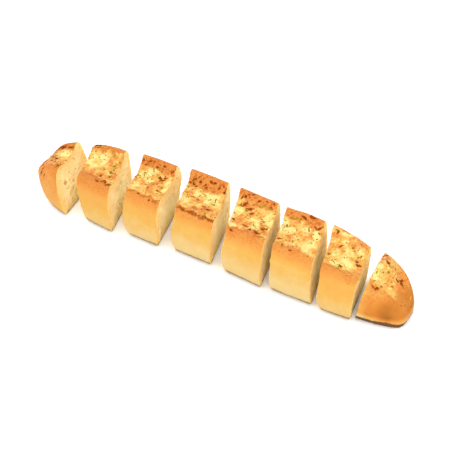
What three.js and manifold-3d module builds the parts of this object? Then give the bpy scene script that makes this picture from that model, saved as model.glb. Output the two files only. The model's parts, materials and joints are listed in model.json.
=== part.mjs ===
// A garlic baguette, baked whole and then cut across into eight pieces that stand in a loose row.
// Millimetres and degrees. +X runs along the loaf, +Y to its back, +Z up. The pieces stand on Z = 0,
// and the origin is the middle of the row's footprint.
import * as THREE from "three";
import { mergeVertices } from "three/addons/utils/BufferGeometryUtils.js";
import Module from "manifold-3d";

// The baked loaf.
const ROUND_SEGMENTS = 56; // facets around the loaf
const LENGTH_SEGMENTS = 58; // facets from tip to tip

// How far each tip reaches from the loaf's middle, how high it stands, and how the top and the base
// come together to it. The left tip curls up, and the right tip sits low.
const LEFT_TIP = {
  reach: 155,
  height: 25,
  topTaper: { sharpness: 7, power: 0.85 },
  baseTaper: { sharpness: 16, power: 3.5 },
};
const RIGHT_TIP = {
  reach: 166,
  height: 7,
  topTaper: { sharpness: 3.8, power: 0.6 },
  baseTaper: { sharpness: 150, power: 1 },
};
const WIDTH_TAPER = { sharpness: 5, power: 0.385 }; // of both tips

// The baker's score along the top, opened by the oven and filled with cheese.
const SCORE_DEPTH = 3.5;
const SCORE_HALF_WIDTH = 21;
const SCORE_LENGTH_SHARE = 0.9; // share of the half length that the score reaches
const SCORE_FADE_SHARE = 0.2; // share of the half length over which it dies away
const SCORE_FROM_HEIGHT = 30; // only the skin above this height is scored

// Outline of the loaf where it is fullest, from the middle of the base round by the front side:
// [across, up]. The back of the crust stands higher than the front, as the score's flap does.
const SECTION = [
  [0, 0],
  [-15, 0],
  [-28, 0],
  [-32, 3],
  [-34, 12],
  [-34.5, 23],
  [-34, 34],
  [-31.5, 43.5],
  [-27, 50],
  [-19, 53],
  [-7, 53.5],
  [5, 54],
  [15, 57],
  [22, 60],
  [27.5, 57.5],
  [31.5, 48],
  [33.5, 35],
  [34, 22],
  [33, 10],
  [31, 2.5],
  [27, 0],
  [15, 0],
];
const SECTION_HEIGHT = 60;

// The seven knife cuts, from the left. "at" is where the cut meets the base's middle line, "bias" turns
// the cut's back end to the left, and "lean" tips its top to the left. "torn" is the face of the piece on
// the cut's right where the bread tore and doesn't match.
const CUTS = [
  { at: -109, bias: 14, lean: 13 },
  { at: -77, bias: 14, lean: 3 },
  { at: -42, bias: 15, lean: -1 },
  { at: 0, bias: 15, lean: -2 },
  { at: 44, bias: 13, lean: -1 },
  { at: 89, bias: 13, lean: 2 },
  { at: 122.5, bias: 10, lean: -4, torn: { at: 118, bias: 12, lean: -10 } },
];

// The eight pieces, from the left. "along" and "across" move a piece from where it was baked, and
// "turn" is its turn on the board, seen from above. "veer" is how far the loaf itself bends there: below
// zero, the piece's right end comes forward and its cut faces stay as they are.
const PIECES = [
  { name: "end_piece_left", along: -57, across: -4, turn: -7.5, veer: 0 },
  { name: "slice_1", along: -39, across: -3.5, turn: 0, veer: -4 },
  { name: "slice_2", along: -22, across: 0, turn: -3, veer: 1 },
  { name: "slice_3", along: -6, across: 2.5, turn: -1, veer: -1 },
  { name: "slice_4", along: 8, across: -0.5, turn: 0, veer: -4.5 },
  { name: "slice_5", along: 16, across: -0.5, turn: 0.5, veer: -1.5 },
  { name: "slice_6", along: 25, across: -2.5, turn: 0.5, veer: -3 },
  { name: "end_piece_right", along: 34.5, across: -0.5, turn: -5.5, veer: 0 },
];

const KNIFE_SIZE = 500; // a cutting block larger than the loaf

const wasm = await Module();
wasm.setup();

function closedSolid(geometry) {
  const bare = geometry.clone().deleteAttribute("normal").deleteAttribute("uv");
  const merged = mergeVertices(bare, 1e-4);
  return new wasm.Manifold(
    new wasm.Mesh({
      numProp: 3,
      vertProperties: merged.attributes.position.array,
      triVerts: new Uint32Array(merged.index.array),
    }),
  );
}

function geometryOf(solid) {
  const mesh = solid.getMesh();
  const geometry = new THREE.BufferGeometry();
  geometry.setAttribute("position", new THREE.BufferAttribute(mesh.vertProperties, 3));
  geometry.setIndex(new THREE.BufferAttribute(mesh.triVerts, 1));
  return geometry;
}

const sectionCurve = new THREE.CatmullRomCurve3(
  SECTION.map(([across, up]) => new THREE.Vector3(0, across, up)),
  true,
  "centripetal",
);

// How much of its full size the loaf still has at a share of the way to its tip.
function tapered(share, taper) {
  return Math.pow(1 - Math.pow(share, taper.sharpness), taper.power);
}

function scoreDip(across, share) {
  const inside = SCORE_HALF_WIDTH - Math.abs(across);
  const side = THREE.MathUtils.smoothstep(inside, 0, SCORE_HALF_WIDTH / 3);
  const end = THREE.MathUtils.smoothstep(SCORE_LENGTH_SHARE - share, 0, SCORE_FADE_SHARE);
  return SCORE_DEPTH * side * end;
}

// One point of the loaf's skin: "round" goes once around it, and "length" from tip to tip.
function skinPoint(round, length) {
  const along = -Math.cos(Math.PI * length);
  const share = Math.min(1, Math.abs(along));
  const tip = along < 0 ? LEFT_TIP : RIGHT_TIP;
  const place = sectionCurve.getPointAt(THREE.MathUtils.euclideanModulo(round, 1));
  const dip = place.z > SCORE_FROM_HEIGHT ? scoreDip(place.y, share) : 0;
  const top = THREE.MathUtils.lerp(tip.height, SECTION_HEIGHT, tapered(share, tip.topTaper));
  const base = THREE.MathUtils.lerp(tip.height, 0, tapered(share, tip.baseTaper));
  return new THREE.Vector3(
    along * tip.reach,
    place.y * tapered(share, WIDTH_TAPER),
    THREE.MathUtils.lerp(base, top, Math.max(0, place.z - dip) / SECTION_HEIGHT),
  );
}

// The whole loaf: a sphere with its poles at the tips, drawn out over the skin's points.
function bakedLoaf() {
  const skin = new THREE.SphereGeometry(1, ROUND_SEGMENTS, LENGTH_SEGMENTS);
  const { position, uv } = skin.attributes;
  for (let i = 0; i < position.count; i++) {
    const point = skinPoint(uv.getX(i), 1 - uv.getY(i));
    position.setXYZ(i, point.x, point.y, point.z);
  }
  return closedSolid(skin);
}

// All of the space to the right of a knife cut.
function rightOf(cut) {
  const block = new THREE.BoxGeometry(KNIFE_SIZE, KNIFE_SIZE, KNIFE_SIZE);
  block.translate(KNIFE_SIZE / 2, 0, 0);
  block.rotateY(THREE.MathUtils.degToRad(-cut.lean));
  block.rotateZ(THREE.MathUtils.degToRad(cut.bias));
  block.translate(cut.at, 0, 0);
  return closedSolid(block);
}

function cutPiece(loaf, index) {
  let piece = loaf;
  if (index > 0) piece = piece.intersect(rightOf(CUTS[index - 1].torn ?? CUTS[index - 1]));
  if (index < CUTS.length) piece = piece.subtract(rightOf(CUTS[index]));
  return piece;
}

// Where a piece stood in the loaf, which it then turns about.
function bakedPlace(index) {
  const left = index > 0 ? CUTS[index - 1].at : -LEFT_TIP.reach;
  const right = index < CUTS.length ? CUTS[index].at : RIGHT_TIP.reach;
  return (left + right) / 2;
}

const crust = new THREE.MeshStandardMaterial({ color: 0xe9b063, roughness: 0.6, metalness: 0 });
const row = new THREE.Group();
const loaf = bakedLoaf();

PIECES.forEach((piece, index) => {
  const place = bakedPlace(index);
  const geometry = geometryOf(cutPiece(loaf, index)).translate(-place, 0, 0);
  const slant = Math.tan(THREE.MathUtils.degToRad(piece.veer));
  geometry.applyMatrix4(new THREE.Matrix4().makeShear(slant, 0, 0, 0, 0, 0));
  geometry.computeBoundingBox();
  const mesh = new THREE.Mesh(geometry, crust);
  mesh.name = piece.name;
  mesh.position.set(place + piece.along, piece.across, -geometry.boundingBox.min.z);
  mesh.rotation.z = THREE.MathUtils.degToRad(piece.turn);
  row.add(mesh);
});

// The origin goes to the middle of the footprint.
row.updateMatrixWorld(true);
const middle = new THREE.Box3().setFromObject(row, true).getCenter(new THREE.Vector3());
for (const mesh of row.children) mesh.position.sub(new THREE.Vector3(middle.x, middle.y, 0));

export default row;
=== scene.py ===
"""A garlic baguette in eight pieces: its crust, crumb, melted cheese, browned spots and herbs.

Run as a script. It works in metres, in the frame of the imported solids; what is given in millimetres
says so.
"""

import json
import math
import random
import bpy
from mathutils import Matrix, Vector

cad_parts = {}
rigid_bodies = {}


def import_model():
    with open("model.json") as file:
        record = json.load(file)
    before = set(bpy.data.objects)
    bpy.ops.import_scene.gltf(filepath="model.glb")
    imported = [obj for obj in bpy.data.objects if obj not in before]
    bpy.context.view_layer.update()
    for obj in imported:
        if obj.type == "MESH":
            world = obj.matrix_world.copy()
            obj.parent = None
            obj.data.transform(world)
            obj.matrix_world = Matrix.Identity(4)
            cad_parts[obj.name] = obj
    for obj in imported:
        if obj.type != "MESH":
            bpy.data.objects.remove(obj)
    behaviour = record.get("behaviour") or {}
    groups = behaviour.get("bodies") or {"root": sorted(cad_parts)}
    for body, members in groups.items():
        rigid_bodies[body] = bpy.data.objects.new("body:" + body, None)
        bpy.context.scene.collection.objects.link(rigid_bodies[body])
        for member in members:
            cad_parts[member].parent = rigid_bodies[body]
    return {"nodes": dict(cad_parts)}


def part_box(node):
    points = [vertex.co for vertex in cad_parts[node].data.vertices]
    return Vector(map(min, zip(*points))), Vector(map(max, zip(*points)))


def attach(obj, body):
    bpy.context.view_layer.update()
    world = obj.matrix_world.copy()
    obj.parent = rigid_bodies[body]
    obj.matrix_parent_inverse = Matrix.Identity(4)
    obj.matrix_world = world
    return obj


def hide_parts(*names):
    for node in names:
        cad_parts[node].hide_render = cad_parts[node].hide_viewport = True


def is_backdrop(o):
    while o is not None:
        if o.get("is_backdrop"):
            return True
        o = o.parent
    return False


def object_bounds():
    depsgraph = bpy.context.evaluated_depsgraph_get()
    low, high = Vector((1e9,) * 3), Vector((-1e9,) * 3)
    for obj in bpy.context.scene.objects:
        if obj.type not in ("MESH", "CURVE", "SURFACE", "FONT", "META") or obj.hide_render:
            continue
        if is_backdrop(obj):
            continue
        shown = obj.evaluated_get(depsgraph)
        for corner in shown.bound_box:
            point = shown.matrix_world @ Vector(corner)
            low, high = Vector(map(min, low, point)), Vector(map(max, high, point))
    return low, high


bl_info = {
    "name": "Garlic Baguette",
    "version": (1, 0, 0),
    "blender": (4, 5, 0),
    "location": "3D View > Sidebar > Baguette",
    "description": "Finishes the cut pieces of a garlic baguette with crust, crumb, cheese and herbs",
    "category": "Object",
}

import bpy
import numpy as np
from bpy.props import FloatProperty, FloatVectorProperty, IntProperty, PointerProperty
from mathutils import Matrix, Vector, kdtree, noise
from mathutils.bvhtree import BVHTree

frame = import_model()
CAD_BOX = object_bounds()

MM = 0.001
BODY = "root"

# Where each piece's cheese lies and how it baked, in millimetres: along from the piece's middle, and
# across from the row's middle line.
# - "front" and "back" are the cheese's edges at the piece's left and right, and "ends" is where the
#   cheese runs out along a tip, from bare to full.
# - "bake" is how much darker the crust is than the middle slices', "rise" is how fast it darkens with
#   height, "mottle" is how uneven it is, and "dark_tip" marks the tip that baked darkest.
# - "lip" is how strongly the torn crust along the cheese's front edge is toasted.
# - The tin band is how high the dark foot of the crust reaches and how dark it is: partly crust that
#   the baking tin browned, partly painted contact shade where the bread meets the floor.
# - "pale", "browned" and "burnt" spots are (along, across, radius), the largest flakes of "herbs" are at
#   (along, across), and the "holes" in the right-hand cut face are (across, up, radius).
TOPPINGS = {
    "end_piece_left": {
        "front": (-20, -22),
        "back": (3, 8),
        "ends": (-17, -7),
        "bake": 0.36,
        "lip": 0.2,
        "pale": [(3, -1, 6), (6, 3, 5), (1, 1, 4)],
        "browned": [
            (-2, -13, 5), (4, -18, 5), (-8, -8, 5), (-9, 6, 5), (0, 9, 4), (-12, -14, 6),
            (-7, -22, 7),
        ],
        "burnt": [
            (-12, 7, 3), (-9, 8, 2.5), (-4, 8, 3), (-6, 9, 2), (2, 9, 1.6), (5, 9, 1.5),
            (-12, -13, 2), (-8, -24, 1.1), (-4, -29, 1.1), (-8, -7, 1.6), (-1, -9, 1.8), (9, -21, 2),
            (-4, -13, 1.4), (-6, -3, 1.5), (1, -15, 1.2), (-17, -6, 1.9), (-16, 1, 1.9),
            (-11, -20, 1.6), (-14, -2, 1.4), (-9, -26, 1.3),
        ],
        "herbs": [(-9, -4), (7, -19), (-3, -11), (2, -6)],
        "holes": [(-20, 28, 3.2)],
        "mottle": 0.2,
    },
    "slice_1": {
        "front": (-8, -25),
        "back": (15, 15),
        "bake": 0.13,
        "lip": 0.35,
        "pale": [(-13, 7, 9), (-9, 0, 8), (-17, 1, 6), (-4, 7, 5)],
        "browned": [(2, -13, 5), (9, -16, 6), (13, 8, 3), (6, 19, 2.5), (-6, -14, 6), (3, 13, 2)],
        "burnt": [
            (-22, 18, 3.4), (6, -22, 2), (12, -19, 2.2), (15, -21, 1.8), (20, -23, 2.2),
            (14, -12, 1.3), (4, -13, 1.6),
        ],
        "herbs": [(11, 0), (11, -3), (11, -6), (14, -11), (12, 9), (3, 13), (2, -3), (9, 3)],
        "holes": [(-4, 33, 2.4), (-1, 36, 1.8)],
    },
    "slice_2": {
        "front": (-20, -23),
        "back": (17, 17),
        "bake": 0.06,
        "lip": 0.65,
        "pale": [(-7, 12, 6), (-12, 7, 6), (16, 5, 5), (-4, 2, 5), (-15, -12, 6), (18, -3, 5)],
        "browned": [
            (2, 0, 3.5), (4, -8, 3.5), (6, -14, 4), (-17, -5, 2.5), (-8, -2, 2.2), (6, 17, 4),
            (13, 16, 2.5), (-17, 19, 4),
        ],
        "burnt": [
            (4, 9, 2.2), (7, 7, 2), (9, 11, 1.5), (1, -8, 1.5), (-1, -22, 1.2), (12, -8, 1.8),
            (-21, 20, 1.6), (-15, 19, 2), (13, -25, 1), (-9, 21, 1.1), (3, 20, 1.1), (12, 18, 1.3),
            (-4, 18, 1), (16, 21, 1),
        ],
        "herbs": [
            (-6, 14), (-3, 9), (-12, 6), (-7, 4), (-18, 2), (13, -3), (14, -3), (-18, 0), (2, 15),
            (-12, 9), (17, -9),
        ],
    },
    "slice_3": {
        "front": (-19, -22),
        "back": (15, 15),
        "bake": 0.0,
        "lip": 1.0,
        "pale": [(2, 7, 6), (9, 3, 6), (-5, 6, 4), (16, 2, 5), (-14, -8, 6), (12, 11, 4)],
        "browned": [
            (-2, -3, 4), (10, -8, 5), (16, -8, 4), (5, -14, 5), (8, 18, 6), (-13, 13, 4),
            (12, -15, 6), (-4, 16, 5),
        ],
        "burnt": [
            (-17, 17, 2.3), (-19, 20, 1.8), (-11, 20, 1.6), (0, 22, 1.5), (4, 22, 1.5), (17, 18, 1.7),
            (-13, 15, 1.4), (14, -9, 2.4), (9, -7, 1.5), (-2, -1, 1.3), (6, 15, 1.2), (18, 21, 1.3),
            (-14, 23, 1.2), (-5, 19, 1.3), (10, 20, 1.2), (-3, 17, 1.1), (14, 22, 1), (-21, 17, 1.5),
        ],
        "herbs": [
            (-20, 7), (-18, 4), (0, 9), (8, 5), (-4, 5), (-8, 2), (1, -12), (1, -15), (-5, -19),
            (15, -18), (17, -20), (-20, 13), (-4, 16), (15, 0), (14, 5),
        ],
    },
    "slice_4": {
        "front": (-20, -21),
        "back": (19, 17),
        "bake": 0.0,
        "lip": 0.4,
        "pale": [
            (-16, 4, 6), (4, 2, 5), (15, 8, 6), (-11, -18, 5), (19, 3, 5), (8, -5, 4), (-17, -3, 4),
        ],
        "browned": [
            (-9, -8, 5.5), (-14, 13, 5), (-6, 11, 4), (7, -16, 3.5), (16, -14, 6), (-3, 6, 3.5),
            (3, 20, 5), (14, 19, 4), (0, -6, 4), (-4, -23, 6), (14, -22, 7),
        ],
        "burnt": [
            (-10, 24, 1.8), (-14, 14, 2.8), (-7, 11, 2.3), (-3, 7, 1.7), (-17, 20, 1.6),
            (-20, 19, 1.3), (0, -11, 1.9), (17, -8, 2.2), (15, -16, 2.6), (13, -14, 1.8),
            (20, -6, 1.5), (-8, -24, 2), (-14, -8, 1.5), (7, -15, 1.5), (13, 17, 1.3), (-2, 19, 1.2),
            (6, 21, 1.1), (14, 21, 1), (-14, 22, 1.2),
        ],
        "herbs": [
            (-17, 11), (-18, 13), (4, 16), (2, 15), (6, 17), (3, 9), (12, 2), (10, 4), (12, 16),
            (7, -7), (-18, 1), (16, -6), (-6, 2), (0, 11), (-10, 8),
        ],
    },
    "slice_5": {
        "front": (-18, -20),
        "back": (17, 16),
        "bake": -0.03,
        "lip": 0.15,
        "pale": [
            (-18, 0, 7), (-12, 4, 6), (13, 10, 5), (12, -6, 8), (14, -14, 5), (-6, -14, 4), (3, 9, 5),
            (-20, 10, 5),
        ],
        "browned": [
            (-15, -11, 2.2), (4, -13, 3), (10, 5, 2), (-10, 15, 3), (6, 16, 4), (-3, -18, 6),
            (6, -20, 5), (-12, 11, 2.5),
        ],
        "burnt": [
            (2, 23, 2.8), (-5, 20, 2), (12, 16, 2.1), (9, 16, 1.4), (-15, -11, 1.3), (2, -22, 1),
            (-1, 26, 1.6),
        ],
        "herbs": [
            (-21, 13), (-18, 9), (-17, 7), (-15, 8), (-2, -8), (-17, 18), (-13, 17), (-8, 17),
            (4, 12), (-6, 7), (9, 6), (-8, -20), (15, 12),
        ],
    },
    "slice_6": {
        "front": (-19, -18),
        "back": (24, 21),
        "bake": 0.12,
        "lip": 0.25,
        "pale": [
            (-2, -3, 8), (6, -4, 7), (-7, 17, 5), (11, 12, 5), (-5, -12, 5), (2, 6, 5), (-10, 2, 4),
        ],
        "browned": [
            (-17, 7, 2.6), (13, 3, 3.5), (-13, -5, 2), (17, -12, 6), (8, 19, 6), (-8, 9, 3),
            (3, 15, 3), (15, -22, 6),
        ],
        "burnt": [
            (-8, 9.5, 1.6), (-16, 18, 1.3), (15, -1, 2.2), (12, 2, 1.5), (-14, -5, 1.5),
            (2, -13, 1.6),
        ],
        "herbs": [
            (2, -12), (3, -14), (1, -20), (12, -20), (-13, -5), (11, 6), (13, 9), (3, 13), (-13, 2),
            (15, -1), (-5, -8), (-16, 19),
        ],
    },
    "end_piece_right": {
        "front": (-17, -8),
        "back": (19, 8),
        "ends": (17, 5),
        "bake": 0.95,
        "rise": -1.4,
        "mottle": 0.3,
        "dark_tip": True,
        "tin_brown_and_contact_shade": (6.5, 1.0),
        "lip": 0.6,
        "pale": [(-11, 8, 6), (-10, 0, 6), (-12, -5, 4)],
        "browned": [(9, 9, 5), (6, 12, 4), (12, 5, 4), (-7, -16, 4), (-12, 22, 4), (2, -4, 3)],
        "burnt": [
            (-8, 17, 1.8), (-13, 24, 1.5), (11, 8, 2), (9, 10, 1.4), (6, 7, 1.3), (-8, -16, 1.6),
            (-4, -15, 2), (-2, -10, 1.2),
        ],
        "herbs": [(-6, 16), (-7, 6), (-4, 9), (-12, 1), (5, -3)],
    },
}

# What a piece has unless its own entry says otherwise.
PLAIN_TOPPING = {
    "ends": None,
    "rise": 1,
    "mottle": 0.07,
    "dark_tip": False,
    "tin_brown_and_contact_shade": (5.2, 0.65),
    "holes": [],
}

# The heights in millimetres down to which cheese and specks of seasoning lie.
CHEESE_FROM = {"tip": 14, "slice": 36}
SPECKS_FROM = {"tip": 22, "slice": 43}

# Where a piece was squeezed or swelled, in millimetres: (along, across, up), the reach of the push, and
# how far it goes.
PUSHES = {
    "end_piece_left": [((-26, -8, 16), 16, (4.5, 0, 0)), ((-12, 12, 44), 13, (0, 0, 2.5))],
    "slice_1": [
        ((-27, 28, 56), 15, (5, 0, 2)),
        ((-10, -28, 49), 15, (0, -1, -3.5)),
        ((14, -28, 49), 15, (0, -1, -3)),
        ((-12, -34, -2), 8, (3, 0, 0)),
    ],
    "slice_2": [
        ((-10, -33, 22), 14, (-3, 0, 0)),
        ((11, 24, 42), 16, (4, 0, 0)),
        ((-10, -34, -2), 8, (5, 0, 0)),
    ],
    "slice_3": [((-12, -33, 22), 14, (-3, 0, 0)), ((-12, -34, -2), 8, (5, 0, 0))],
    "slice_4": [((-13, -34, 22), 14, (-1.5, 0, 0)), ((-13, -34, -2), 9, (5, 0, 0))],
    "slice_5": [((-24, 26, 57), 16, (0, 0, -2)), ((-15, -34, -2), 9, (4, 0, 0))],
    "slice_6": [((-10, -32, 16), 13, (-2, 0, 0)), ((-10, -34, -2), 8, (4, 0, 0))],
    "end_piece_right": [
        ((-8, 26, 46), 16, (0, 0, -2)),
        ((-17, 26, 49), 7, (1, -1, -2.5)),
        ((21, -12, 8), 12, (2.5, -2.5, 0)),
    ],
}

# Where the lights stand, in metres: to the camera's right, away from the camera, and up.
KEY_PLACE = (-1.2, -0.7, 1.3)
FRONT_PLACE = (0, -1.45, 0.8)
LIGHT_SIZE = 1.2

# How a knife's cut is told from the crust: by its area in square metres, and by the cosines of its
# angles to the row and from facet to facet.
SMALLEST_CUT = (30 * MM) ** 2
FACING = 0.8
PARALLEL = 0.99999

FADE_STEPS = 32  # steps in which a vertex group fades
FARTHEST_SEEN = 20  # metres from the camera


# Colours and sizes ---------------------------------------------------------------------------------


def linear(colour):
    """An sRGB hex colour as linear red, green, blue and alpha."""
    shares = [int(colour[i : i + 2], 16) / 255 for i in (1, 3, 5)]
    return tuple(s / 12.92 if s <= 0.04045 else ((s + 0.055) / 1.055) ** 2.4 for s in shares) + (1.0,)


def length_of(name, text, millimetres):
    """A length setting in metres."""
    return FloatProperty(name=name, description=text, default=millimetres * MM, unit="LENGTH", precision=5)


def colour_of(name, text, colour):
    """A colour setting."""
    return FloatVectorProperty(name=name, description=text, default=linear(colour), size=4, subtype="COLOR")


def count_of(name, text, count):
    """A number of copies."""
    return IntProperty(name=name, description=text, default=count, min=0)


def angle_of(name, text, degrees):
    """An angle setting in radians."""
    return FloatProperty(name=name, description=text, default=math.radians(degrees), subtype="ANGLE")


def strength_of(name, text, strength):
    """The strength of a light."""
    return FloatProperty(name=name, description=text, default=strength, min=0)


class BreadSettings(bpy.types.PropertyGroup):
    """Sizes and colours of the baked bread."""

    grain: length_of("Grain", "Size of the fine mesh's cells", 0.55)
    undulation: length_of("Undulation", "Height of the crust's long swells", 0.9)
    undulation_width: length_of("Undulation width", "Width of the crust's long swells", 24)
    wrinkle: length_of("Wrinkle", "Height of the crust's fine wrinkles", 0.22)
    wrinkle_width: length_of("Wrinkle width", "Width of the crust's fine wrinkles", 3.2)
    pore: length_of("Pore", "Depth of the crumb's large pores", 0.7)
    pore_spacing: length_of("Pore spacing", "Distance between large pores", 5.5)
    fine_pore: length_of("Fine pore", "Depth of the crumb's small pores", 0.25)
    fine_pore_spacing: length_of("Fine pore spacing", "Distance between small pores", 1.9)
    hole: length_of("Hole", "Depth of the few holes in the crumb", 2.5)
    crust_pale: colour_of("Pale crust", "Crust low on the sides", "#C2A86F")
    crust_golden: colour_of("Golden crust", "Crust halfway up the sides", "#C09240")
    crust_orange: colour_of("Orange crust", "Crust at the shoulders", "#BF7B31")
    crust_deep: colour_of("Deep crust", "Crust where it baked hardest", "#B0691A")
    crust_dark: colour_of("Dark crust", "The tip that baked darkest", "#8E5006")
    # Partly crust that the tin browned, partly painted contact shade along the foot of each piece.
    base_brown_and_contact_shade: colour_of("Base brown", "The crust that lay on the tin", "#5C380C")
    crumb: colour_of("Crumb", "The soft inside", "#FFF1BE")
    # Both the crumb's darker random tone and the painted shade deep in its pores and holes.
    crumb_tone_and_pore_shade: colour_of("Crumb pore", "Inside the pores", "#E6C67C")
    crumb_rim: colour_of("Crumb rim", "The crumb near the crust", "#D3AA5F")


class CheeseSettings(bpy.types.PropertyGroup):
    """Sizes and colours of the melted cheese."""

    lump: length_of("Lump", "Height of the melted lumps", 2.0)
    lump_width: length_of("Lump width", "Width of the melted lumps", 6.5)
    fine_lump: length_of("Fine lump", "Height of the small lumps", 0.9)
    fine_lump_width: length_of("Fine lump width", "Width of the small lumps", 2.6)
    pale: colour_of("Pale cheese", "Cheese that only melted", "#D9C379")
    yellow: colour_of("Yellow cheese", "Cheese that started to colour", "#D2A24C")
    toasted: colour_of("Toasted cheese", "Cheese that browned", "#BE712B")
    speck: colour_of("Specks", "Specks of seasoning on the crust", "#AA4A10")
    burnt: colour_of("Burnt spots", "The darkest spots", "#782B04")
    shred_count: count_of("Shreds", "Shreds on each piece", 9)
    shred_length: length_of("Shred length", "Length of a grated shred", 6.5)
    shred_width: length_of("Shred width", "Width of a grated shred", 1.0)


class HerbSettings(bpy.types.PropertyGroup):
    """Sizes and colours of the dried herbs and the charred crumbs."""

    flake_count: count_of("Flakes", "Scattered flakes on each piece", 34)
    flake_length: length_of("Flake length", "Length of a dried flake", 3.6)
    flake_width: length_of("Flake width", "Width of a dried flake", 1.5)
    green: colour_of("Herb green", "Dried parsley", "#8A9018")
    dark: colour_of("Herb brown", "Parsley that toasted", "#66500C")
    crumb_count: count_of("Charred crumbs", "Loose charred crumbs on each piece", 26)
    crumb_size: length_of("Charred crumb", "Size of a charred crumb", 1.2)
    charred: colour_of("Charred", "Crumbs that burnt", "#5A2204")
    toasted: colour_of("Toasted", "Crumbs that browned", "#A04A08")


class StageSettings(bpy.types.PropertyGroup):
    """The floor, the lights and the camera."""

    azimuth: angle_of("Azimuth", "Camera's turn round the row", 30)
    elevation: angle_of("Elevation", "Camera's height angle", 40)
    distance: length_of("Distance", "Camera to the point it looks at", 1500)
    lens: FloatProperty(name="Lens", description="Focal length in millimetres", default=119.2)
    look_along: length_of("Look along", "Point the camera looks at, along the row", -8.7)
    look_across: length_of("Look across", "Point the camera looks at, across the row", 30.8)
    floor_size: length_of("Floor", "Side of the floor", 8000)
    floor: colour_of("Floor colour", "Plain pale floor", "#FAFAFA")
    key: strength_of("Key light", "Power of the key light, from the left, in watts", 2.5)
    front: strength_of("Front light", "Power of the light from the front into the gaps, in watts", 6.5)
    surround: strength_of("Surrounding light", "Strength of the light all round", 1.6)


# Small tools ---------------------------------------------------------------------------------------


def activate(piece):
    """Selects one object and nothing else."""
    bpy.ops.object.select_all(action="DESELECT")
    piece.select_set(True)
    bpy.context.view_layer.objects.active = piece


def modify(piece, kind, **settings):
    """Adds a modifier with its settings and applies it."""
    activate(piece)
    modifier = piece.modifiers.new(kind.title(), kind)
    for key, value in settings.items():
        setattr(modifier, key, value)
    bpy.ops.object.modifier_apply(modifier=modifier.name)


def smooth_step(low, high, value):
    """0 below low, 1 above high, and a smooth rise between; low may be above high."""
    share = np.clip((value - low) / (high - low), 0, 1)
    return share * share * (3 - 2 * share)


def bumps(points, size, seed):
    """Smooth random values from about -1 to 1 that change over the given size, one for each point."""
    shifted = points / size + seed * 17.3
    return np.array([noise.noise(p) for p in shifted.tolist()])


def read_points(mesh):
    """A mesh's vertices and their normals as two arrays."""
    points = np.empty(len(mesh.vertices) * 3)
    normals = np.empty(len(mesh.vertices) * 3)
    mesh.vertices.foreach_get("co", points)
    mesh.vertex_normals.foreach_get("vector", normals)
    return points.reshape(-1, 3), normals.reshape(-1, 3)


def write_points(mesh, points):
    """Moves a mesh's vertices to the given points."""
    mesh.vertices.foreach_set("co", points.ravel())
    mesh.update()


def write_attribute(mesh, name, values):
    """Stores one number for each vertex, for the materials to read."""
    attribute = mesh.attributes.new(name, "FLOAT", "POINT")
    attribute.data.foreach_set("value", np.ascontiguousarray(values, dtype=np.float32))


def write_group(piece, name, weights):
    """Makes a vertex group with the given weights, so that a modifier can fade with it."""
    group = piece.vertex_groups.new(name=name)
    levels = np.round(np.clip(weights, 0, 1) * FADE_STEPS).astype(int)
    for level in range(1, FADE_STEPS + 1):
        members = np.nonzero(levels == level)[0].tolist()
        if members:
            group.add(members, level / FADE_STEPS, "REPLACE")
    return group.name


def displace(piece, kind, size, height, weights, middle=0.5, **settings):
    """Moves the surface in and out by a procedural texture, faded by the weights."""
    texture = bpy.data.textures.new(f"{piece.name}_{kind.lower()}", kind)
    texture.noise_scale = size
    for key, value in settings.items():
        setattr(texture, key, value)
    group = write_group(piece, "fade", weights)
    modify(
        piece,
        "DISPLACE",
        texture=texture,
        texture_coords="LOCAL",
        strength=height,
        mid_level=middle,
        vertex_group=group,
    )
    piece.vertex_groups.clear()
    bpy.data.textures.remove(texture)


# The bread -----------------------------------------------------------------------------------------


def merged_copy(node):
    """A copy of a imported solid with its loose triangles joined."""
    piece = bpy.data.objects.new(f"{node}_bread", frame["nodes"][node].data.copy())
    bpy.context.scene.collection.objects.link(piece)
    activate(piece)
    bpy.ops.object.mode_set(mode="EDIT")
    bpy.ops.mesh.select_all(action="SELECT")
    bpy.ops.mesh.remove_doubles(threshold=0.001 * MM)
    bpy.ops.object.mode_set(mode="OBJECT")
    piece.data.materials.clear()
    return piece


def knife_planes(mesh):
    """The flat cut faces of a piece as (outward normal, distance from the origin)."""
    planes = []
    for side in (-1, 1):
        facing = [p for p in mesh.polygons if p.normal.x * side > FACING]
        if not facing:
            continue
        widest = max(facing, key=lambda p: p.area)
        flat = [p for p in facing if p.normal.dot(widest.normal) > PARALLEL]
        if sum(p.area for p in flat) > SMALLEST_CUT:
            planes.append((np.array(widest.normal), float(widest.normal.dot(widest.center))))
    return planes


def spot_field(along, across, spots, ragged, stretch):
    """How strongly each point lies in one of the ragged spots, each stretched its own way."""
    field = np.zeros(len(along))
    draw = random.Random(len(spots))
    for x, y, radius in spots:
        turn = draw.uniform(-0.6, 1.2)
        length = (along - x) * math.cos(turn) + (across - y) * math.sin(turn)
        width = (across - y) * math.cos(turn) - (along - x) * math.sin(turn)
        gap = np.hypot(length / stretch, width * stretch) / radius + ragged
        field = np.maximum(field, smooth_step(1.15, 0.6, gap))
    return field


def edge_line(along, ends, reach):
    """The cheese's edge at each point: it runs straight from its place at the left to the right."""
    return ends[0] + (ends[1] - ends[0]) * np.clip(along / reach / 2 + 0.5, 0, 1)


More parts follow.
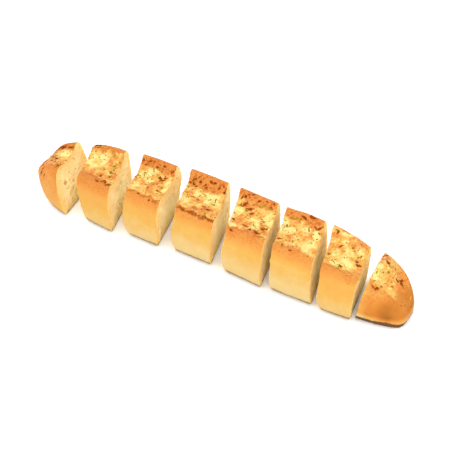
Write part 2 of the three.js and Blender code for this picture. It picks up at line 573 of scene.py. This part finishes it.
class Surface:
    """The fine mesh of one piece, with what the crust, crumb and cheese need to know of each point."""

    def __init__(self, node, piece, planes):
        self.points, self.normals = read_points(piece.data)
        low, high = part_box(node)
        self.topping = PLAIN_TOPPING | TOPPINGS[node]
        self.kind = "tip" if self.topping["ends"] else "slice"
        self.half = (high.x - low.x) / 2 / MM
        self.along = (self.points[:, 0] - (low.x + high.x) / 2) / MM
        self.across = self.points[:, 1] / MM
        self.up = self.points[:, 2] / MM
        self.crumb = self.cut_faces(planes)
        self.cheese, self.lip = self.cheese_cover()

    def cut_faces(self, planes):
        """1 where a point lies on a knife's cut, and 0 on the crust."""
        cover = np.zeros(len(self.points))
        for normal, distance in planes:
            gap = np.abs(self.points @ normal - distance) / MM
            facing = smooth_step(0.55, 0.85, self.normals @ normal)
            cover = np.maximum(cover, smooth_step(0.9, 0.5, gap) * facing)
        return cover

    def cheese_cover(self):
        """How much cheese covers each point, and how much of it lies on the lip along the front edge."""
        ragged = bumps(self.points, 8 * MM, 1) * 2.4 + bumps(self.points, 2.8 * MM, 2) * 1.4
        front = self.across - edge_line(self.along, self.topping["front"], self.half) + ragged
        back = edge_line(self.along, self.topping["back"], self.half) - self.across + ragged
        cover = smooth_step(-0.8, 1.2, front) * smooth_step(-1.5, 1.5, back)
        if self.topping["ends"]:
            bare, full = self.topping["ends"]
            cover *= smooth_step(bare, full, self.along + ragged)
        lowest = CHEESE_FROM[self.kind]
        top = smooth_step(0.2, 0.5, self.normals[:, 2]) * smooth_step(lowest, lowest + 6, self.up)
        lip = smooth_step(2.1, 0.8, np.abs(front + 0.4)) * smooth_step(0.1, 0.4, self.normals[:, 2])
        broken = smooth_step(-0.5, -0.05, bumps(self.points, 5 * MM, 6))
        lip *= broken * smooth_step(40, 46, self.up)
        return cover * top * (1 - self.crumb), lip * (1 - self.crumb)


def shape_surface(piece, surface, settings, cheese):
    """Gives the smooth solid its swells, wrinkles, lumps, pores and holes.

    It returns how deep each point sank in the crumb, in millimetres.
    """
    skin = 1 - surface.crumb
    standing = smooth_step(0.5, 4, surface.up)
    displace(piece, "CLOUDS", settings.undulation_width, settings.undulation, skin * standing)
    displace(piece, "CLOUDS", settings.wrinkle_width, settings.wrinkle, skin * standing, noise_depth=2)
    displace(piece, "CLOUDS", cheese.lump_width, cheese.lump, surface.cheese, middle=0.3, noise_depth=1)
    displace(piece, "CLOUDS", cheese.fine_lump_width, cheese.fine_lump, surface.cheese, middle=0.4)
    before, _ = read_points(piece.data)
    density = smooth_step(-0.25, 0.35, bumps(surface.points, 12 * MM, 5)) * surface.crumb
    for spacing, depth, weights in (
        (settings.pore_spacing, settings.pore, density),
        (settings.fine_pore_spacing, settings.fine_pore, surface.crumb),
    ):
        displace(
            piece,
            "VORONOI",
            spacing,
            depth,
            weights * standing,
            middle=1.0,
            contrast=3.2,
            intensity=1.25,
        )
    after, _ = read_points(piece.data)
    ragged = bumps(surface.points, 2.6 * MM, 3) * 0.4
    hollow = spot_field(surface.across, surface.up, surface.topping["holes"], ragged, 1.3)
    hollow *= surface.crumb * (surface.normals[:, 0] > 0)
    after -= surface.normals * hollow[:, None] * settings.hole
    write_points(piece.data, after)
    return np.linalg.norm(after - before, axis=1) / MM


def settle(piece, surface, pushes):
    """Pushes the piece out of true, and flattens what swelled below the surface that it stands on."""
    points, _ = read_points(piece.data)
    for (along, across, up), reach, move in pushes:
        gap = np.hypot(np.hypot(surface.along - along, surface.across - across), surface.up - up) / reach
        points += np.exp(-gap * gap)[:, None] * np.array(move) * MM
    points[:, 2] = np.maximum(points[:, 2], 0)
    write_points(piece.data, points)


def rim_distance(surface):
    """How far each crumb point lies from the crust, in millimetres."""
    inside = surface.crumb >= 0.3
    skin = np.nonzero(~inside)[0]
    tree = kdtree.KDTree(len(skin))
    for index, point in enumerate(surface.points[skin].tolist()):
        tree.insert(point, index)
    tree.balance()
    distance = np.zeros(len(surface.points))
    for index in np.nonzero(inside)[0]:
        distance[index] = tree.find(surface.points[index])[2] / MM
    return distance


def crust_bake(surface, broad):
    """How hard the crust baked at each point, from 0 for pale to 1 for dark: it rises with the height."""
    along, across, up = surface.along, surface.across, surface.up
    topping = surface.topping
    side = 0.3 * np.clip((up - 8) / 28, 0, 1)
    shoulder = 0.4 * smooth_step(37, 51, up)
    top = 0.06 * smooth_step(50, 60, up)
    ridge = 0.02 * smooth_step(14, 20, across) * smooth_step(44, 50, up)
    bake = topping["bake"] + topping["rise"] * (side + shoulder + top) + topping["mottle"] * broad + ridge
    if topping["dark_tip"]:
        # Darkest on its side and in one soft patch, and palest at its foot and by the cut.
        bake += 0.4 * smooth_step(-14, 12, along) * smooth_step(0.9, 0.4, surface.normals[:, 2])
        bake += 0.16 * np.exp(-(((along - 10) / 10) ** 2) - ((up - 22) / 9) ** 2)
        bake -= 0.95 * smooth_step(14, 6, up)
        bake -= 0.35 * smooth_step(-6, -18, along)
    return bake


def paint_surface(piece, surface, pores):
    """Stores what each material needs to know of each point."""
    topping, up = surface.topping, surface.up
    skin = 1 - surface.crumb
    fine = bumps(surface.points, 1.3 * MM, 7)
    ragged = bumps(surface.points, 2.6 * MM, 3)
    broad = bumps(surface.points, 14 * MM, 4)
    pale, browned, burnt = [
        spot_field(surface.along, surface.across, topping[name], ragged * 0.5 + fine * edge, stretch)
        for name, edge, stretch in (("pale", 0.2, 1.1), ("browned", 0.4, 1.2), ("burnt", 0.5, 1.65))
    ]
    lip = surface.lip * topping["lip"]
    torn = lip * (0.5 + 0.4 * smooth_step(-0.4, 0.4, fine + ragged))
    top = smooth_step(24, 30, up) * smooth_step(0.1, 0.4, surface.normals[:, 2]) * skin
    lowest = SPECKS_FROM[surface.kind]
    specks = smooth_step(lowest, lowest + 6, up) * (0.35 + 0.65 * smooth_step(10, 18, surface.across))
    # The dark foot: partly crust browned by the tin, partly painted contact shade; it sits lower on the cut
    # faces.
    foot_band_height, foot_band_share = topping["tin_brown_and_contact_shade"]
    above_foot_band = up - foot_band_height + 3.4 * surface.crumb - 1.5 * broad
    fields = {
        "bake": crust_bake(surface, broad),
        "cheese": surface.cheese,
        "pale": pale,
        "browned": np.maximum(browned, lip),
        "burnt": np.maximum(burnt * top * 0.92, torn),
        "sprinkle": specks * (1 - 0.6 * surface.cheese) * skin,
        "tin_brown_and_contact_shade": foot_band_share * smooth_step(1.0, -0.8, above_foot_band + ragged),
        "rim": rim_distance(surface),
        "pore": pores,
    }
    for name, values in fields.items():
        write_attribute(piece.data, name, values)


def bread_piece(node, settings, cheese, materials):
    """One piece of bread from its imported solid."""
    piece = merged_copy(node)
    planes = knife_planes(piece.data)
    modify(piece, "REMESH", mode="VOXEL", voxel_size=settings.grain)
    modify(piece, "SMOOTH", factor=0.5, iterations=3)
    surface = Surface(node, piece, planes)
    pores = shape_surface(piece, surface, settings, cheese)
    settle(piece, surface, PUSHES[node])
    paint_surface(piece, surface, pores)
    for material in materials:
        piece.data.materials.append(material)
    crumb_faces = np.array([surface.crumb[list(p.vertices)].mean() > 0.5 for p in piece.data.polygons])
    piece.data.polygons.foreach_set("material_index", crumb_faces.astype(np.int32))
    activate(piece)
    bpy.ops.object.shade_smooth()
    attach(piece, BODY)
    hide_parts(node)
    return piece


# Materials -----------------------------------------------------------------------------------------

# The inputs of a Map Range node, in the order in which the materials give them.
RANGE_INPUTS = ("Value", "From Min", "From Max", "To Min", "To Max")

# The places of a Mix node's colours: what lies under, what lies over it, and the result.
MIX_UNDER = 6
MIX_OVER = 7
MIX_RESULT = 2


def add_node(tree, kind, settings, result=0):
    """Adds a node and gives one of its outputs.

    A setting that is another node's output is linked; any other is the input's or the node's own value.
    Inputs that share a name, as those of Math and Mix nodes do, are given by their place.
    """
    node = tree.nodes.new(kind)
    for key, value in settings.items():
        if isinstance(value, bpy.types.NodeSocket):
            tree.links.new(value, node.inputs[key])
        elif isinstance(key, int) or key in node.inputs:
            node.inputs[key].default_value = value
        elif key == "stops":
            elements = node.color_ramp.elements
            for index, (share, colour) in enumerate(value):
                stop = elements[index] if index < 2 else elements.new(share)
                stop.position, stop.color = share, colour
        else:
            setattr(node, key, value)
    return node.outputs[result]


def new_material(name):
    """An empty material: (material, node tree, shader)."""
    material = bpy.data.materials.new(name)
    material.use_nodes = True
    tree = material.node_tree
    return material, tree, tree.nodes["Principled BSDF"]


def baked_crust(bread, cheese):
    """Wheat crust under butter and melted cheese.

    The oven browns what stands highest, so the crust goes from pale gold at the base to orange on the
    shoulders, with red-brown specks of seasoning. The cheese is mottled and a little glossy with fat.
    """
    material, tree, shader = new_material("baked_crust_with_cheese")
    bake, cover, pale, browned, burnt, sprinkle, tin_brown_and_contact_shade = [
        add_node(tree, "ShaderNodeAttribute", {"attribute_name": name}, "Fac")
        for name in ("bake", "cheese", "pale", "browned", "burnt", "sprinkle", "tin_brown_and_contact_shade")
    ]
    place = add_node(tree, "ShaderNodeTexCoord", {}, "Object")
    mottle, speckle, grain = [
        add_node(
            tree,
            "ShaderNodeTexNoise",
            {"Vector": place, "Scale": 1 / size, "Detail": detail, "Roughness": 0.58},
        )
        for size, detail in ((7 * MM, 3.0), (2.2 * MM, 2.0), (2.4 * MM, 2.5))
    ]

    # Each of these reads a pattern or a cover over one range, and gives another.
    cloud, thin, flecked, grains, broken, dull, shine = [
        add_node(tree, "ShaderNodeMapRange", dict(zip(RANGE_INPUTS, ranges)))
        for ranges in (
            (mottle, 0.2, 0.8, -0.06, 0.06),
            (mottle, 0.2, 0.8, 0.0, 0.9),
            (speckle, 0.25, 0.75, -0.16, 0.16),
            (grain, 0.5, 0.6, 0.0, 0.85),
            (speckle, 0.3, 0.6, 0.25, 0.95),
            (cover, 0.0, 1.0, 0.62, 0.45),
            (burnt, 0.0, 1.0, 0.25, 0.0),
        )
    ]

    # The crust, from how hard it baked.
    baked = add_node(tree, "ShaderNodeMath", {"operation": "MULTIPLY_ADD", 0: bake, 1: 0.7, 2: cloud})
    stops = [
        (0.0, bread.crust_pale),
        (0.22, bread.crust_golden),
        (0.5, bread.crust_orange),
        (0.72, bread.crust_deep),
        (1.0, bread.crust_dark),
    ]
    crust = add_node(tree, "ShaderNodeValToRGB", {"stops": stops, "Fac": baked})

    # The cheese, paler where it lies thick.
    thick = add_node(tree, "ShaderNodeMath", {"operation": "MULTIPLY_ADD", 0: pale, 1: -0.3, 2: thin})
    melt = add_node(tree, "ShaderNodeMath", {"operation": "ADD", 0: thick, 1: flecked})
    stops = [(0.1, cheese.pale), (0.36, cheese.yellow), (0.7, cheese.toasted)]
    melted = add_node(tree, "ShaderNodeValToRGB", {"stops": stops, "Fac": melt})

    # Specks and browned patches break up over the grain.
    specks = add_node(tree, "ShaderNodeMath", {"operation": "MULTIPLY", 0: grains, 1: sprinkle})
    toast = add_node(tree, "ShaderNodeMath", {"operation": "MULTIPLY", 0: broken, 1: browned})
    colour = crust
    for share, coat in (
        (cover, melted),
        (toast, cheese.toasted),
        (specks, cheese.speck),
        (burnt, cheese.burnt),
        # Along the foot: partly crust browned by the tin, partly painted contact shade.
        (tin_brown_and_contact_shade, bread.base_brown_and_contact_shade),
    ):
        layer = {"data_type": "RGBA", "Factor": share, MIX_UNDER: colour, MIX_OVER: coat}
        colour = add_node(tree, "ShaderNodeMix", layer, MIX_RESULT)
    tree.links.new(colour, shader.inputs["Base Color"])

    tree.links.new(dull, shader.inputs["Roughness"])
    relief = add_node(tree, "ShaderNodeBump", {"Strength": 0.5, "Distance": 0.4 * MM, "Height": speckle})
    tree.links.new(relief, shader.inputs["Normal"])
    tree.links.new(shine, shader.inputs["Specular IOR Level"])
    shader.inputs["IOR"].default_value = 1.45
    return material


def soft_crumb(bread):
    """White wheat crumb cut with a bread knife: matt, open and springy, with painted shade deep in its
    pores and holes.
    """
    material, tree, shader = new_material("wheat_crumb")
    pore, rim, tin_brown_and_contact_shade = [
        add_node(tree, "ShaderNodeAttribute", {"attribute_name": name}, "Fac")
        for name in ("pore", "rim", "tin_brown_and_contact_shade")
    ]
    place = add_node(tree, "ShaderNodeTexCoord", {}, "Object")
    broad, fine = [
        add_node(
            tree,
            "ShaderNodeTexNoise",
            {"Vector": place, "Scale": 1 / size, "Detail": detail, "Roughness": 0.58},
        )
        for size, detail in ((6 * MM, 4.0), (1.4 * MM, 3.0))
    ]

    # The same again: the pores' depth and the distance from the crust are in millimetres.
    hollow, hole_shade, uneven, outer, skin = [
        add_node(tree, "ShaderNodeMapRange", dict(zip(RANGE_INPUTS, ranges)))
        for ranges in (
            (pore, 0.05, 0.9, 0.0, 0.8),
            (pore, 0.8, 2.4, 0.0, 0.75),
            (broad, 0.4, 0.75, 0.0, 0.6),
            (rim, 20.0, 3.0, 0.0, 0.8),
            (rim, 2.6, 0.4, 0.0, 0.45),
        )
    ]
    colour = bread.crumb
    for share, coat in (
        # Painted shade: the pores and the holes grow darker with their depth.
        (hollow, bread.crumb_tone_and_pore_shade),
        (hole_shade, bread.crust_golden),
        (uneven, bread.crumb_tone_and_pore_shade),
        (outer, bread.crumb_rim),
        (skin, bread.crust_golden),
        # Along the foot: partly crust browned by the tin, partly painted contact shade.
        (tin_brown_and_contact_shade, bread.base_brown_and_contact_shade),
    ):
        layer = {"data_type": "RGBA", "Factor": share, MIX_UNDER: colour, MIX_OVER: coat}
        colour = add_node(tree, "ShaderNodeMix", layer, MIX_RESULT)
    tree.links.new(colour, shader.inputs["Base Color"])
    relief = add_node(tree, "ShaderNodeBump", {"Strength": 0.6, "Distance": 0.4 * MM, "Height": fine})
    tree.links.new(relief, shader.inputs["Normal"])
    shader.inputs["Roughness"].default_value = 0.85
    shader.inputs["IOR"].default_value = 1.4
    shader.inputs["Specular IOR Level"].default_value = 0.2
    shader.inputs["Subsurface Weight"].default_value = 0.8
    shader.inputs["Subsurface Radius"].default_value = (1.0, 0.6, 0.35)
    shader.inputs["Subsurface Scale"].default_value = 16 * MM
    return material


def dry_finish(name, light, dark, roughness, size):
    """A dry, matt food surface that varies between two colours from bit to bit."""
    material, tree, shader = new_material(name)
    place = add_node(tree, "ShaderNodeTexCoord", {}, "Object")
    noise_field = add_node(tree, "ShaderNodeTexNoise", {"Scale": 1 / size, "Vector": place})
    share = add_node(tree, "ShaderNodeMapRange", {"Value": noise_field, "From Min": 0.4, "From Max": 0.6})
    layer = {"data_type": "RGBA", "Factor": share, MIX_UNDER: dark, MIX_OVER: light}
    colour = add_node(tree, "ShaderNodeMix", layer, MIX_RESULT)
    tree.links.new(colour, shader.inputs["Base Color"])
    shader.inputs["Roughness"].default_value = roughness
    shader.inputs["Specular IOR Level"].default_value = 0.05
    return material


# What lies on the bread ----------------------------------------------------------------------------

ABOVE = 0.2  # a height in metres over all of the bread
STEEPEST = 0.35  # the least upward share of a surface's normal on which something still lies


def unit_flake():
    """A curled leaf flake, one unit long and wide."""
    bpy.ops.object.select_all(action="DESELECT")
    bpy.ops.mesh.primitive_cube_add(size=1)
    flake = bpy.context.object
    bpy.ops.object.mode_set(mode="EDIT")
    bpy.ops.mesh.subdivide(number_cuts=2)
    bpy.ops.object.mode_set(mode="OBJECT")
    for vertex in flake.data.vertices:
        x, y, z = vertex.co
        width = 1 - 1.7 * x * x + 0.25 * math.sin(9 * x)
        vertex.co = (x, y * width, z * 0.12 + 0.45 * x * x - 0.5 * y * y)
    return flake


def unit_crumb():
    """A knobbly charred crumb, one unit across."""
    bpy.ops.object.select_all(action="DESELECT")
    bpy.ops.mesh.primitive_ico_sphere_add(subdivisions=2, radius=0.5)
    crumb = bpy.context.object
    for vertex in crumb.data.vertices:
        vertex.co *= 1 + 0.45 * noise.noise(vertex.co * 3.1)
    return crumb


def unit_shred():
    """A grated shred of cheese, one unit long, bent and pointed at its ends."""
    bpy.ops.object.select_all(action="DESELECT")
    bpy.ops.mesh.primitive_uv_sphere_add(segments=8, ring_count=10, radius=0.5)
    shred = bpy.context.object
    for vertex in shred.data.vertices:
        x, y, z = vertex.co.z, vertex.co.x, vertex.co.y
        vertex.co = (x, y + 2.2 * x * x - 0.9 * x**3, z)
    bpy.ops.object.mode_set(mode="EDIT")
    bpy.ops.mesh.select_all(action="SELECT")
    bpy.ops.mesh.normals_make_consistent(inside=False)
    bpy.ops.object.mode_set(mode="OBJECT")
    return shred


def scatter(name, master, places, material):
    """One mesh that holds a copy of the master at each place."""
    points = np.array([v.co for v in master.data.vertices])
    faces = [tuple(p.vertices) for p in master.data.polygons]
    all_points, all_faces = [], []
    for place in places:
        matrix = np.array(place)
        offset = len(all_points) * len(points)
        all_points.append(points @ matrix[:3, :3].T + matrix[:3, 3])
        all_faces += [tuple(offset + i for i in face) for face in faces]
    mesh = bpy.data.meshes.new(name)
    mesh.from_pydata(np.concatenate(all_points).tolist(), [], all_faces)
    mesh.materials.append(material)
    piece = bpy.data.objects.new(name, mesh)
    bpy.context.scene.collection.objects.link(piece)
    activate(piece)
    bpy.ops.object.shade_smooth()
    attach(piece, BODY)
    return piece


class Top:
    """The finished top of one piece of bread, for what lies on it."""

    def __init__(self, node):
        piece = bpy.data.objects[f"{node}_bread"]
        low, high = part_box(node)
        self.tree = BVHTree.FromObject(piece, bpy.context.evaluated_depsgraph_get())
        self.topping = TOPPINGS[node]
        self.middle = (low.x + high.x) / 2
        self.half = (high.x - low.x) / 2 / MM

    def spot(self, along, across):
        """A spot in metres, from its millimetres on the piece."""
        return self.middle + along * MM, across * MM

    def cheese_spot(self, draw):
        """A random spot over the cheese."""
        along = draw.uniform(-self.half, self.half)
        front = edge_line(along, self.topping["front"], self.half)
        back = edge_line(along, self.topping["back"], self.half)
        return self.spot(along, draw.uniform(front - 1, back + 4))

    def lay(self, spot, size, draw, lift, tilt):
        """The place of something small that lies on the bread at a spot; None where there is no top."""
        hit, normal, _, _ = self.tree.ray_cast(Vector((*spot, ABOVE)), Vector((0, 0, -1)))
        if hit is None or normal.z < STEEPEST:
            return None
        lean = Vector((draw.uniform(-tilt, tilt), draw.uniform(-tilt, tilt), 0))
        facing = (normal + lean).normalized().to_track_quat("Z", "Y").to_matrix().to_4x4()
        spin = Matrix.Rotation(draw.uniform(0, 2 * math.pi), 4, "Z")
        return Matrix.Translation(hit + normal * lift) @ facing @ spin @ Matrix.Diagonal((*size, 1))


def herb_flakes(top, draw, settings):
    """The places of a piece's flakes: the large ones at listed spots, and smaller ones over all of its
    cheese.
    """
    spots = [(top.spot(x, y), True) for x, y in top.topping["herbs"]]
    spots += [(top.cheese_spot(draw), False) for _ in range(settings.flake_count)]
    for spot, large in spots:
        scale = 1.0 if large else draw.uniform(0.25, 0.65)
        size = (
            settings.flake_length * scale * draw.uniform(0.8, 1.3),
            settings.flake_width * scale * draw.uniform(0.6, 1.2),
            settings.flake_width,
        )
        yield top.lay(spot, size, draw, lift=0.1 * MM, tilt=0.35)


def charred_crumbs(top, draw, settings):
    """The places of a piece's crumbs: some in each burnt spot, and some over all of its cheese."""
    spots = []
    for x, y, radius in top.topping["burnt"]:
        spread = radius * 0.6
        for _ in range(2 + int(radius)):
            spots.append(top.spot(x + draw.uniform(-spread, spread), y + draw.uniform(-spread, spread)))
    spots += [top.cheese_spot(draw) for _ in range(settings.crumb_count)]
    for spot in spots:
        length, width, height = [settings.crumb_size * draw.uniform(0.5, 1.3) for _ in range(3)]
        yield top.lay(spot, (length, width, height * 0.6), draw, lift=0.05 * MM, tilt=0.3)


def cheese_shreds(top, draw, settings):
    """The places of a piece's shreds, over all of its cheese."""
    for _ in range(settings.shred_count):
        spot = top.cheese_spot(draw)
        size = (
            settings.shred_length * draw.uniform(0.6, 1.2),
            settings.shred_width * draw.uniform(0.7, 1.2),
            settings.shred_width * draw.uniform(0.7, 1.0),
        )
        yield top.lay(spot, size, draw, lift=0, tilt=0.1)


def strew(name, master, material, layer, settings, seed):
    """Lays copies of the master over every piece of bread, and takes the master away."""
    for number, node in enumerate(TOPPINGS):
        places = layer(Top(node), random.Random(seed + number), settings)
        scatter(f"{node}_{name}", master, [place for place in places if place], material)
    bpy.data.objects.remove(master)


# Operators -----------------------------------------------------------------------------------------


class BREAD_OT_pieces(bpy.types.Operator):
    """Bakes the crust, crumb and cheese of every cut piece"""

    bl_idname = "bread.pieces"
    bl_label = "Bread Pieces"

    def execute(self, context):
        bread, cheese = context.scene.bread, context.scene.bread_cheese
        materials = [baked_crust(bread, cheese), soft_crumb(bread)]
        for node in TOPPINGS:
            bread_piece(node, bread, cheese, materials)
        return {"FINISHED"}


class BREAD_OT_herbs(bpy.types.Operator):
    """Scatters dried herb flakes over the cheese"""

    bl_idname = "bread.herbs"
    bl_label = "Dried Herbs"

    def execute(self, context):
        settings = context.scene.bread_herbs
        # Dried parsley is matt and olive green, and browner where it toasted.
        material = dry_finish("dried_parsley", settings.green, settings.dark, 0.8, 3 * MM)
        strew("herbs", unit_flake(), material, herb_flakes, settings, 100)
        return {"FINISHED"}


class BREAD_OT_charred_crumbs(bpy.types.Operator):
    """Adds the charred crumbs in the burnt spots and over the cheese"""

    bl_idname = "bread.charred_crumbs"
    bl_label = "Charred Crumbs"

    def execute(self, context):
        settings = context.scene.bread_herbs
        # Charred crust is dry and dark red-brown, and lighter where it only toasted.
        material = dry_finish("charred_crust", settings.toasted, settings.charred, 0.7, 1.5 * MM)
        strew("charred_crumbs", unit_crumb(), material, charred_crumbs, settings, 200)
        return {"FINISHED"}


class BREAD_OT_cheese_shreds(bpy.types.Operator):
    """Lays half-melted cheese shreds on top"""

    bl_idname = "bread.cheese_shreds"
    bl_label = "Cheese Shreds"

    def execute(self, context):
        settings = context.scene.bread_cheese
        # Half-melted cheddar is yellow with browned patches, and smoother than the crust.
        material = dry_finish("melted_cheddar", settings.yellow, settings.toasted, 0.45, 5 * MM)
        strew("cheese_shreds", unit_shred(), material, cheese_shreds, settings, 300)
        return {"FINISHED"}


class BREAD_OT_stage(bpy.types.Operator):
    """Sets the floor, the lights and the camera"""

    bl_idname = "bread.stage"
    bl_label = "Stage"

    def execute(self, context):
        settings = context.scene.bread_stage
        target = Vector((settings.look_along, settings.look_across, 0))
        back = Vector(
            (
                math.sin(settings.azimuth) * math.cos(settings.elevation),
                -math.cos(settings.azimuth) * math.cos(settings.elevation),
                math.sin(settings.elevation),
            )
        )
        bpy.ops.object.select_all(action="DESELECT")
        bpy.ops.object.camera_add(location=target + back * settings.distance)
        camera = context.object
        camera.rotation_euler = (-back).to_track_quat("-Z", "Y").to_euler()
        camera.data.lens = settings.lens
        camera.data.clip_end = FARTHEST_SEEN
        context.scene.camera = camera

        bpy.ops.mesh.primitive_plane_add(size=settings.floor_size)
        floor = context.object
        floor.name = "floor"
        # White card is plain and matt, so that only the soft shadows show.
        material, _, shader = new_material("matt_white_card")
        shader.inputs["Base Color"].default_value = settings.floor
        shader.inputs["Roughness"].default_value = 0.9
        shader.inputs["Specular IOR Level"].default_value = 0.2
        floor.data.materials.append(material)
        floor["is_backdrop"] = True

        turn = Matrix.Rotation(settings.azimuth, 3, "Z")
        for power, place in ((settings.key, KEY_PLACE), (settings.front, FRONT_PLACE)):
            place = turn @ Vector(place)
            bpy.ops.object.light_add(type="AREA", location=place)
            light = context.object
            light.data.energy = power
            light.data.size = LIGHT_SIZE
            light.rotation_euler = (-place).to_track_quat("-Z", "Y").to_euler()

        world = bpy.data.worlds.new("white_studio")
        world.use_nodes = True
        background = world.node_tree.nodes["Background"]
        background.inputs["Color"].default_value = linear("#FFFFFF")
        background.inputs["Strength"].default_value = settings.surround
        context.scene.world = world
        context.scene.view_settings.view_transform = "Standard"
        return {"FINISHED"}


class BREAD_PT_panel(bpy.types.Panel):
    """The baguette's operators and settings"""

    bl_label = "Baguette"
    bl_space_type = "VIEW_3D"
    bl_region_type = "UI"
    bl_category = "Baguette"

    def draw(self, context):
        for operator in OPERATORS:
            self.layout.operator(operator.bl_idname)
        for group in SETTINGS:
            box = self.layout.box()
            settings = getattr(context.scene, group)
            for name in settings.__annotations__:
                box.prop(settings, name)


SETTINGS = {
    "bread": BreadSettings,
    "bread_cheese": CheeseSettings,
    "bread_herbs": HerbSettings,
    "bread_stage": StageSettings,
}
OPERATORS = (
    BREAD_OT_pieces,
    BREAD_OT_herbs,
    BREAD_OT_charred_crumbs,
    BREAD_OT_cheese_shreds,
    BREAD_OT_stage,
)


def register():
    for cls in (*SETTINGS.values(), *OPERATORS, BREAD_PT_panel):
        bpy.utils.register_class(cls)
    for name, group in SETTINGS.items():
        setattr(bpy.types.Scene, name, PointerProperty(type=group))


def unregister():
    for name in SETTINGS:
        delattr(bpy.types.Scene, name)
    for cls in (BREAD_PT_panel, *OPERATORS, *SETTINGS.values()):
        bpy.utils.unregister_class(cls)


def main():
    register()
    bpy.ops.bread.pieces()
    bpy.ops.bread.herbs()
    bpy.ops.bread.charred_crumbs()
    bpy.ops.bread.cheese_shreds()
    bpy.ops.bread.stage()
    boxes = {"cad": CAD_BOX, "visual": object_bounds()}
    {name: [list(corner) for corner in box] for name, box in boxes.items()}


if __name__ == "__main__":
    main()
